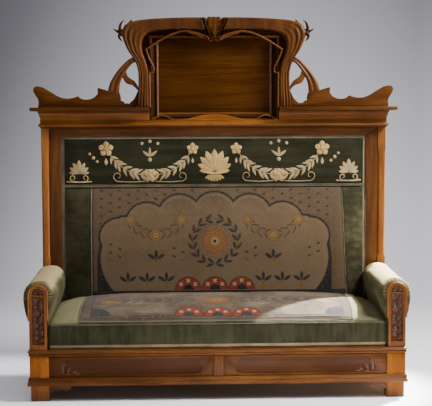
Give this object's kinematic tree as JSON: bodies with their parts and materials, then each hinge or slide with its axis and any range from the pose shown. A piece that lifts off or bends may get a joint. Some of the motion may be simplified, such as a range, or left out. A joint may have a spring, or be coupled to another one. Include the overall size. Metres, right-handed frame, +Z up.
{
  "type": "high-back bench",
  "caption": "High-back bench with a sprung seat, rolled arms, an upholstered back, plinth drawers and a carved crest of bundled stems round an open niche.",
  "frame": {"origin": "on the floor, under the middle of the bench's overall width and depth", "axes": "+X to the right as one looks at the front, the front faces -Y, +Z up"},
  "size_m": [2.168, 0.66, 2.1368],
  "materials": {
    "polished_walnut": "satin polish",
    "shaded_walnut": "satin polish, darker",
    "inner_timber": "planed, unpolished",
    "olive_velvet": "cut pile, bleached where it is lit",
    "tapestry_cover": "flat woven",
    "jute_webbing": "coarse woven"
  },
  "bodies": {
    "carcass": {"arch_left": "polished_walnut", "arch_right": "polished_walnut", "arm_pad_left": "olive_velvet", "arm_pad_right": "olive_velvet", "arm_panel_left": "polished_walnut", "arm_panel_right": "polished_walnut", "arm_stump_left": "polished_walnut", "arm_stump_right": "polished_walnut", "back_board": "shaded_walnut", "back_frame_left": "polished_walnut", "back_frame_right": "polished_walnut", "back_frame_top": "polished_walnut", "back_pad": "tapestry_cover", "base_moulding_front": "polished_walnut", "base_moulding_left": "polished_walnut", "base_moulding_right": "polished_walnut", "branch_left": "polished_walnut", "branch_right": "polished_walnut", "centre_stile": "polished_walnut", "cornice_left": "polished_walnut", "cornice_right": "polished_walnut", "crest_clasp": "shaded_walnut", "drawer_partition": "inner_timber", "drawer_rail": "polished_walnut", "drawer_runner_left": "inner_timber", "drawer_runner_right": "inner_timber", "entablature": "polished_walnut", "foot_bracket_left": "shaded_walnut", "foot_bracket_right": "shaded_walnut", "frieze_pad": "olive_velvet", "front_leg_left": "polished_walnut", "front_leg_right": "polished_walnut", "gallery_rail": "polished_walnut", "niche_back": "polished_walnut", "niche_shelf": "shaded_walnut", "niche_side_left": "shaded_walnut", "niche_side_right": "shaded_walnut", "niche_top": "shaded_walnut", "rear_post_left": "polished_walnut", "rear_post_right": "polished_walnut", "seat_pad": "tapestry_cover", "seat_rail_front": "polished_walnut", "seat_rail_left": "polished_walnut", "seat_rail_right": "polished_walnut", "seat_rail_rear": "inner_timber", "seat_webbing": "jute_webbing", "side_panel_left": "polished_walnut", "side_panel_right": "polished_walnut", "wing_left": "polished_walnut", "wing_right": "polished_walnut"},
    "drawer_left": {"drawer_front_left": "polished_walnut", "drawer_side_outer_left": "inner_timber", "drawer_side_inner_left": "inner_timber", "drawer_back_left": "inner_timber", "drawer_bottom_left": "inner_timber"},
    "drawer_right": {"drawer_front_right": "polished_walnut", "drawer_side_outer_right": "inner_timber", "drawer_side_inner_right": "inner_timber", "drawer_back_right": "inner_timber", "drawer_bottom_right": "inner_timber"}
  },
  "joints": [
    {"name": "drawer_left_slide", "type": "slide", "parent": "carcass", "child": "drawer_left", "axis": [0, -1, 0], "range_m": [0, 0.36]},
    {"name": "drawer_right_slide", "type": "slide", "parent": "carcass", "child": "drawer_right", "axis": [0, -1, 0], "range_m": [0, 0.36]}
  ]
}
